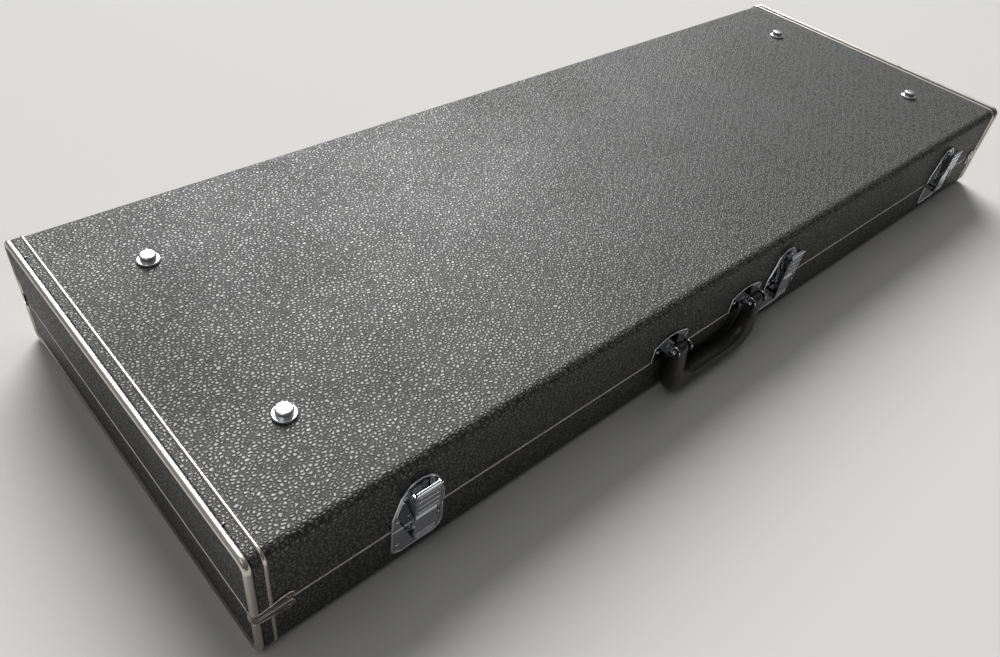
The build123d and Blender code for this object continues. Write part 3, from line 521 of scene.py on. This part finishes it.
handle = {
    "arm": 13.0,                   # thickness of the arms
    "armWidth": 14.2,
    "tips": (6.3, 5.6, 4.4, 2.4),  # sections above the pivot, where the arms' ends round off
    "thick": 18.6,                 # thickness of the grip
    "depth": 17.0,
    "flare": 30.0,                 # length over which an arm swells into the grip
    "outerCorner": 18.0,
    "innerCorner": 26.0,
    "square": 2.7,                 # 2 is an ellipse, more is squarer
    "sections": 24,
    "turnPoints": 36,
}


def armEdge(x, drop, corner, part):
    # a point down the arm, round the corner or along the grip, part 0 to 3
    if part <= 1:
        return (-x, -part * (drop - corner))
    if part <= 2:
        turn = math.radians(90 * (part - 1))
        return (-x + corner - corner * math.cos(turn), -drop + corner - corner * math.sin(turn))
    return ((part - 3) * (x - corner), -drop)


def makeHandle():
    look = handle
    low, high = nodeBox("handle_grip")
    midX, midY, pivotZ = (low.x + high.x) / 2, (low.y + high.y) / 2, high.z - look["arm"] / 2
    outerX, foot = (high.x - low.x) / 2, pivotZ - low.z
    innerX, gap = outerX - look["armWidth"], foot - look["depth"]
    half = [((-outerX, up), (-innerX, up)) for up in look["tips"]]
    for i in range(look["sections"] + 1):
        part = 3 * i / look["sections"]
        half.append((armEdge(outerX, foot, look["outerCorner"], part),
                     armEdge(innerX, gap, look["innerCorner"], part)))
    pairs = half + [((-a[0], a[1]), (-b[0], b[1])) for a, b in half[-2::-1]]
    rings = []
    for (ax, az), (bx, bz) in pairs:
        up = (az + bz) / 2
        swell = min(max(-up / look["flare"], 0.0), 1.0)
        swell = swell * swell * (3 - 2 * swell)
        thick = look["arm"] + (look["thick"] - look["arm"]) * swell
        if up > 0:
            thick *= math.sqrt(max(1 - (up / (look["arm"] / 2)) ** 2, 0.02))  # never quite to a point
        ring = []
        for step in range(look["turnPoints"]):
            turn = 2 * math.pi * step / look["turnPoints"]
            c, v = math.cos(turn), math.sin(turn)
            across = math.copysign(abs(c) ** (2 / look["square"]), c)
            out = math.copysign(abs(v) ** (2 / look["square"]), v)
            ring.append((midX + (ax + bx) / 2 + (ax - bx) / 2 * across, midY + thick / 2 * out,
                         pivotZ + (az + bz) / 2 + (az - bz) / 2 * across))
        rings.append(ring)
    piece = loftRings("handleGripMoulding", rings, finishes["mouldedBlack"])
    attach(piece, "handle")
    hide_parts("handle_grip")


makeHandle()
print("handle made")


# Geometry Nodes trees for beads, ribs and heads

treeDetail = {"cornerPoints": 5, "beadPoints": 12, "headSegments": 20, "headRings": 12}


def startTree(name, sizes):
    tree = bpy.data.node_groups.new(name, "GeometryNodeTree")
    tree.interface.new_socket("Geometry", in_out="INPUT", socket_type="NodeSocketGeometry")
    for label, value in sizes:
        socket = tree.interface.new_socket(label, in_out="INPUT", socket_type="NodeSocketFloat")
        socket.default_value = value
    tree.interface.new_socket("Finish", in_out="INPUT", socket_type="NodeSocketMaterial")
    tree.interface.new_socket("Geometry", in_out="OUTPUT", socket_type="NodeSocketGeometry")
    return tree, put(tree, "NodeGroupInput")


def endTree(tree, given, shape):
    real = put(tree, "GeometryNodeRealizeInstances", {"Geometry": shape})
    soft = put(tree, "GeometryNodeSetShadeSmooth", {"Geometry": real.outputs[0]})
    worn = put(tree, "GeometryNodeSetMaterial", {"Geometry": soft.outputs[0],
                                                 "Material": given.outputs["Finish"]})
    put(tree, "NodeGroupOutput", {"Geometry": worn.outputs[0]})
    return tree


def beadTree():
    # a round bead along every path of edges, its corners eased
    tree, given = startTree("roundBeads", (("Radius", 0.001), ("Ease", 0.002)))
    path = put(tree, "GeometryNodeMeshToCurve", {"Mesh": given.outputs["Geometry"]})
    eased = put(tree, "GeometryNodeFilletCurve",
                {"Curve": path.outputs[0], "Count": treeDetail["cornerPoints"], "Limit Radius": True,
                 "Radius": given.outputs["Ease"]}, mode="POLY")
    ring = put(tree, "GeometryNodeCurvePrimitiveCircle", {"Resolution": treeDetail["beadPoints"],
                                                          "Radius": given.outputs["Radius"]})
    bead = put(tree, "GeometryNodeCurveToMesh", {"Curve": eased.outputs[0],
                                                 "Profile Curve": ring.outputs[0], "Fill Caps": True})
    return endTree(tree, given, bead.outputs[0])


def headTree():
    # an ellipsoid head on every point, half sunk in what it stands on
    tree, given = startTree("domedHeads", (("Across", 0.0015), ("Out", 0.0006), ("Up", 0.0015)))
    ball = put(tree, "GeometryNodeMeshUVSphere", {"Segments": treeDetail["headSegments"],
                                                  "Rings": treeDetail["headRings"], "Radius": 1.0})
    size = put(tree, "ShaderNodeCombineXYZ", {"X": given.outputs["Across"], "Y": given.outputs["Out"],
                                              "Z": given.outputs["Up"]})
    each = put(tree, "GeometryNodeInstanceOnPoints",
               {"Points": given.outputs["Geometry"], "Instance": ball.outputs[0],
                "Scale": size.outputs[0]})
    return endTree(tree, given, each.outputs[0])


def runTree(name, tree, paths, body, finish, slot, **sizes):
    # run a tree on paths or single points, given in millimetres, and keep the plain mesh
    verts, edges = [], []
    for path in paths:
        first = len(verts)
        verts += [tuple(c * mm for c in p) for p in path]
        edges += [(i, i + 1) for i in range(first, len(verts) - 1)]
    mesh = bpy.data.meshes.new(name)
    mesh.from_pydata(verts, edges, [])
    piece = bpy.data.objects.new(name, mesh)
    scene.collection.objects.link(piece)
    run = piece.modifiers.new("run", "NODES")
    run.node_group = tree
    for item in tree.interface.items_tree:
        if item.item_type == "SOCKET" and item.in_out == "INPUT":
            if item.name in sizes:
                run[item.identifier] = sizes[item.name] * mm
            elif item.name == "Finish":
                run[item.identifier] = finish
    bake(piece)
    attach(piece, body)
    return piece


beads, heads = beadTree(), headTree()
# beads and heads wear the lighter chrome, a painted highlight
chrome = finishes["chromeEdgeHighlight"]


# round bindings: a thick one over each end edge and a thin one further in

bindings = {"outer": {"radius": 3.2, "sink": 1.6}, "inner": {"radius": 1.6, "sink": 0.1},
            "corner": 9.0, "steps": 9, "ease": 0.02}


def makeBinding(body, kind):
    node = body + "_" + kind + "_bindings"
    low, high = nodeBox(node)
    radius, steps = bindings[kind]["radius"], bindings["steps"]
    corner = bindings["corner"] - bindings[kind]["sink"]
    x, y = high.x - radius, high.y - radius
    start, far, way = (low.z, high.z - radius, 1) if body == "base" else (high.z, low.z + radius, -1)
    turns = [math.radians(90 * i / steps) for i in range(steps + 1)]
    arc = [(-y + corner * (1 - math.cos(t)), far - way * corner * (1 - math.sin(t))) for t in turns]
    side = [(-y, start)] + arc + [(-b, z) for b, z in reversed(arc)] + [(y, start)]
    paths = [[(end * x, b, z) for b, z in side] for end in (-1, 1)]
    piece = runTree(body + kind.capitalize() + "Binding", beads, paths, body, finishes["nickelBinding"],
                    "nickel", Radius=radius, Ease=bindings["ease"])
    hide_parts(node)


for body in ("base", "lid"):
    makeBinding(body, "outer")
    makeBinding(body, "inner")
print("bindings made")


# latch dressings: out is measured from the case's front, up from the seam

latchLook = {
    "plate": 1.2,              # face of both plates
    "proud": 0.2,              # beads lie this far before that face
    "outline": ((-24.0, 3.0), (-24.0, 15.0), (-16.2, 36.3)),
    "crown": 46.0,             # top of the plate's arch
    "archPoints": 16,
    "bead": {"Radius": 1.0, "Ease": 1.5},
    "ridge": ((-20.4, 17.0), (-15.4, 31.5), (-12.0, 35.0)),
    "ridgeBead": {"Radius": 0.7, "Ease": 2.0},
    "tabs": ((-4.6, 38.9), (4.6, 38.9)),
    "tabHalf": 2.6,
    "tabProud": 0.4,
    "knob": (15.6, 31.5),
    "knobSize": {"Across": 1.5, "Out": 2.4, "Up": 1.8},
    "lip": (10.4, 10.2, 43.4),  # half-width, out and up of the lever's rolled tip
    "lipBead": {"Radius": 2.3, "Ease": 0.1},
    "ribs": (24.5, 30.0, 36.0, 41.5),
    "ribHalf": 9.6,
    "ribOut": 12.0,
    "ribBead": {"Radius": 0.6, "Ease": 0.1},
    "creases": (-8.8, -5.4),
    "creaseHalf": 9.2,
    "creaseOut": 10.4,
    "creaseBead": {"Radius": 0.45, "Ease": 0.1},
    "catchTop": (24.2, 13.2, -1.7),  # from, to and up of the catch plate's rolled top
    "catchFoot": ((-24.0, -3.0), (-24.0, -22.5), (-21.6, -28.1), (-16.0, -30.5)),
    "catchBead": {"Radius": 0.85, "Ease": 2.0},
}


def onFront(x, out, up):
    return (x, case["front"] - out, case["seam"] + up)


def acrossFront(x, half, out, up):
    # a straight path across the case's front
    return [onFront(x - half, out, up), onFront(x + half, out, up)]


def mirrored(points):
    # left half of an outline, then its right half
    return list(points) + [(-x, up) for x, up in reversed(points)]


def dressLatch(side, x0):
    look, lever, hasp = latchLook, side + "_lever", side + "_hasp"
    face = look["plate"] + look["proud"]
    halfTop, shoulder = -look["outline"][-1][0], look["outline"][-1][1]
    arch = []
    for i in range(1, look["archPoints"]):
        along = 2 * i / look["archPoints"] - 1
        arch.append((halfTop * along, shoulder + (look["crown"] - shoulder) * (1 - along ** 2)))
    outline = list(look["outline"]) + arch + [(-x, up) for x, up in reversed(look["outline"])]
    runTree(side + "PlateBead", beads, [[onFront(x0 + x, face, up) for x, up in outline]], "base", chrome,
            "chrome", **look["bead"])
    ridges = [[onFront(x0 + way * x, face, up) for x, up in look["ridge"]] for way in (-1, 1)]
    ridges += [acrossFront(x0 + x, look["tabHalf"], face + look["tabProud"], up) for x, up in look["tabs"]]
    runTree(side + "PlateRidges", beads, ridges, "base", chrome, "chrome", **look["ridgeBead"])
    knobs = [[onFront(x0 + way * look["knob"][0], look["plate"], look["knob"][1])] for way in (-1, 1)]
    runTree(side + "PlateKnobs", heads, knobs, "base", chrome, "chrome", **look["knobSize"])
    runTree(side + "LeverLip", beads, [acrossFront(x0, *look["lip"])], lever, finishes["chromeBright"],
            "chrome", **look["lipBead"])
    ribs = [acrossFront(x0, look["ribHalf"], look["ribOut"], up) for up in look["ribs"]]
    runTree(side + "LeverRibs", beads, ribs, lever, chrome, "chrome", **look["ribBead"])
    creases = [acrossFront(x0, look["creaseHalf"], look["creaseOut"], up) for up in look["creases"]]
    runTree(side + "HaspCreases", beads, creases, hasp, chrome, "chrome", **look["creaseBead"])
    outer, inner, up = look["catchTop"]
    edges = [[onFront(x0 + way * outer, look["plate"], up), onFront(x0 + way * inner, look["plate"], up)]
             for way in (-1, 1)]
    edges += [[onFront(x0 + x, face, up) for x, up in mirrored(look["catchFoot"])]]
    runTree(side + "CatchBead", beads, edges, "lid", chrome, "chrome", **look["catchBead"])


for side, x0 in latchPlaces.items():
    dressLatch(side, x0)
print("latch dressings made")


# handle brackets: a rolled bead along each arch, rounded ear edges and pin heads

bracketLook = {
    "halfBracket": 25.0,
    "half": 24.4,              # of the bead's arch
    "foot": 2.0,
    "side": 19.8,
    "crown": 26.0,
    "archPoints": 16,
    "beadOut": 1.3,
    "bead": {"Radius": 0.85, "Ease": 2.5},
    "ear": 9.3,
    "earReach": 5.7,
    "earRoot": 1.2,
    "earPoints": 12,
    "earBead": {"Radius": 0.75, "Ease": 0.2},
    "pivotOut": 12.5,
    "pivotUp": 16.6,
    "pinPlace": 10.9,
    "pinHead": {"Across": 1.0, "Out": 2.1, "Up": 2.1},
}


def dressBrackets():
    look = bracketLook
    paths, ears, pins = [], [], []
    for x0 in (bracketLow.x + look["halfBracket"], bracketHigh.x - look["halfBracket"]):
        arch = []
        for i in range(look["archPoints"] + 1):
            along = 2 * i / look["archPoints"] - 1
            arch.append((look["half"] * along,
                         look["side"] + (look["crown"] - look["side"]) * (1 - along ** 2)))
        path = [(-look["half"], look["foot"])] + arch + [(look["half"], look["foot"])]
        paths.append([onFront(x0 + x, look["beadOut"], up) for x, up in path])
        for way in (-1, 1):
            x, ring = x0 + way * look["ear"], []
            for step in range(look["earPoints"] + 1):
                angle = math.pi * (step / look["earPoints"] - 0.5)
                ring.append(onFront(x, look["pivotOut"] + look["earReach"] * math.cos(angle),
                                    look["pivotUp"] + look["earReach"] * math.sin(angle)))
            low, high = look["pivotUp"] - look["earReach"], look["pivotUp"] + look["earReach"]
            ears.append([onFront(x, look["earRoot"], low)] + ring + [onFront(x, look["earRoot"], high)])
            pins.append([onFront(x0 + way * look["pinPlace"], look["pivotOut"], look["pivotUp"])])
    runTree("bracketBeads", beads, paths, "base", chrome, "chrome", **look["bead"])
    runTree("bracketEarEdges", beads, ears, "base", chrome, "chrome", **look["earBead"])
    runTree("handlePinHeads", heads, pins, "base", chrome, "chrome", **look["pinHead"])


dressBrackets()


# rolled edges of the two rims, which show as bright lines round the seam; their nickel is painted lighter,
# a painted highlight

seamLook = {"up": 0.55, "proud": 0.15, "corner": 3.0, "cornerSteps": 5,
            "bead": {"Radius": 0.3, "Ease": 0.05}}


def dressSeam():
    look = seamLook
    halfX, halfY = case["halfLength"] + look["proud"], look["proud"] - case["front"]
    for body, way in (("base", 1), ("lid", -1)):
        ring = roundedRing(halfX, halfY, look["corner"], case["seam"] + way * look["up"],
                           steps=look["cornerSteps"])
        runTree(body + "RimBead", beads, [ring + ring[:1]], body, finishes["nickelEdgeHighlight"], "nickel",
                **look["bead"])


dressSeam()


# corner clips: a bright folded edge round each strap and its tab, its nickel painted lighter, a painted
# highlight

clipLook = {
    "out": 0.95,
    "low": 0.9,                # the strap's edges, from the rim
    "height": 5.0,
    "leg": 7.0,
    "side": 26.0,
    "corner": 4.2,
    "tab": 4.2,                # radius of the round tab
    "tabUp": 0.5,
    "turnStep": 18,
    "bead": {"Radius": 0.6, "Ease": 0.05},
}


def clipCorner(end, side, level):
    # round the case's upright corner, from the side to the end
    look, radius = clipLook, clipLook["corner"]
    faceX, faceY = case["halfLength"] + look["out"], look["out"] - case["front"]
    points = []
    for angle in range(90, -1, -look["turnStep"]):
        turn = math.radians(angle)
        points.append((end * (faceX - radius + radius * math.cos(turn)),
                       side * (faceY - radius + radius * math.sin(turn)), level))
    return points + [(end * faceX, side * (faceY - look["leg"]), level)]


def clipTab(end, side, rim, way):
    # round the tab on the case's side, from the strap's lower edge to its upper one
    look, radius = clipLook, clipLook["tab"]
    x, y = case["halfLength"] - look["side"], look["out"] - case["front"]
    points = []
    for angle in range(0, 12 * look["turnStep"], look["turnStep"]):
        turn = math.radians(angle)
        points.append((end * (x - radius * math.sin(turn)), side * y,
                       rim + way * (radius + look["tabUp"] - radius * math.cos(turn))))
    return points


def dressClips():
    look = clipLook
    for body, way in (("base", 1), ("lid", -1)):
        paths = []
        rim = case["seam"] + way * halfGap
        for end in (-1, 1):
            for side in (-1, 1):
                tab = clipTab(end, side, rim, way)
                low = [tab[0]] + clipCorner(end, side, rim + way * look["low"])
                high = clipCorner(end, side, rim + way * look["height"])
                paths.append(low[::-1] + tab[1:] + high)
                paths.append([low[-1], high[-1]])
        runTree(body + "ClipEdges", beads, paths, body, finishes["nickelEdgeHighlight"], "nickel", **look["bead"])


dressClips()


# small pins that hold the covering strip at each end, on the top face; they wear the darker nickel, a
# painted dark reflection

stripPins = {"inset": 5.2, "side": 164.3, "up": 0.9, "head": {"Across": 1.4, "Out": 1.4, "Up": 0.8}}
pinPoints = [[(end * (case["halfLength"] - stripPins["inset"]), way * stripPins["side"],
               case["top"] + stripPins["up"])] for end in (-1, 1) for way in (-1, 1)]
runTree("stripPins", heads, pinPoints, "base", finishes["nickelClipDarkReflection"], "nickel", **stripPins["head"])
print("bracket beads, rim beads, clip edges and strip pins made")


# floor, light and camera

studio = {
    "floor": "#c8c7c4",
    "reach": 12.0,
    "drop": 0.0004,            # the floor lies this far below the case, so that they don't flicker
    "room": "#f6f6f8",
    "horizon": 0.16,
    "zenith": 0.34,
    "brightWay": (0.1, 0.99, 0.0),
    "darkShare": 0.35,
    "window": {"origin": (0.38, 0.68, 0.63), "angle": 38.0, "strength": 4.4},
}
softboxes = {
    "topSoftbox": {"place": (1.15, 0.2, 1.75), "aim": (0.35, -0.1, 0.05), "size": (0.7, 1.6), "power": 3.0},
    "leftFill": {"place": (-1.45, -0.5, 1.9), "aim": (0.0, -0.2, 0.05), "size": (0.9, 0.9), "power": 3.0},
}


def makeFloor():
    reach, drop = studio["reach"], -studio["drop"]
    corners = [(x * reach, y * reach, drop) for x, y in ((-1, -1), (1, -1), (1, 1), (-1, 1))]
    matt = {"Roughness": 0.85, "Base Color": fromHex(studio["floor"])}
    paint = startMaterial("studioFloorPaint", **matt)[0]
    floor = meshPiece("studioFloor", corners, [(0, 1, 2, 3)], paint, smooth=False)


def makeWorld():
    # an even grey room, darker low down and in front, so that plated pieces have something to show
    world = bpy.data.worlds.new("studioWorld")
    scene.world = world
    world.use_nodes = True
    tree = world.node_tree
    background = tree.nodes["Background"]
    background.inputs["Color"].default_value = fromHex(studio["room"])
    way = put(tree, "ShaderNodeTexCoord").outputs["Generated"]
    ways = put(tree, "ShaderNodeSeparateXYZ", {"Vector": way})
    level = put(tree, "ShaderNodeMapRange", {"Value": ways.outputs["Z"], 1: -0.05, 2: 0.75,
                                             3: studio["horizon"], 4: studio["zenith"]},
                interpolation_type="SMOOTHSTEP")
    back = put(tree, "ShaderNodeVectorMath", {0: way, 1: studio["brightWay"]}, operation="DOT_PRODUCT")
    turn = put(tree, "ShaderNodeMapRange", {"Value": back.outputs["Value"], 1: -0.6, 2: 0.4,
                                            3: studio["darkShare"]})
    both = put(tree, "ShaderNodeMath", {0: level.outputs[0], 1: turn.outputs[0]}, operation="MULTIPLY")
    tree.links.new(both.outputs[0], background.inputs["Strength"])


def hangLamp(lamp, place, aim):
    holder = bpy.data.objects.new(lamp.name, lamp)
    holder.location = place
    holder.rotation_euler = (Vector(aim) - Vector(place)).to_track_quat("-Z", "Y").to_euler()
    scene.collection.objects.link(holder)


def makeLights():
    # a broad far light, which falls evenly on the whole floor, and two weak softboxes
    lamp = bpy.data.lights.new("backWindow", "SUN")
    lamp.angle = math.radians(studio["window"]["angle"])
    lamp.energy = studio["window"]["strength"]
    hangLamp(lamp, studio["window"]["origin"], (0.0, 0.0, 0.0))
    for name, box in softboxes.items():
        lamp = bpy.data.lights.new(name, "AREA")
        lamp.shape = "RECTANGLE"
        lamp.size, lamp.size_y = box["size"]
        lamp.energy = box["power"]
        hangLamp(lamp, box["place"], box["aim"])


# the camera stands where the photograph was taken from, high off the near front corner
photoView = {
    "sensor": 36.0,
    "lens": 29.89,
    "place": (-0.67122, -0.47383, 0.57786),
    "rows": ((0.737722, 0.391947, -0.549676), (-0.665865, 0.556685, -0.496715),
             (0.111311, 0.732447, 0.671663)),
}


def makeCamera():
    camera = bpy.data.cameras.new("photoCamera")
    camera.sensor_width = photoView["sensor"]
    camera.lens = photoView["lens"]
    holder = bpy.data.objects.new("photoCamera", camera)
    turned = Matrix(photoView["rows"]).to_4x4()
    turned.translation = Vector(photoView["place"])
    holder.matrix_world = turned
    scene.collection.objects.link(holder)
    scene.camera = holder


makeFloor()
makeWorld()
makeLights()
makeCamera()
scene.view_settings.view_transform = "Standard"
print("floor, light and camera set")
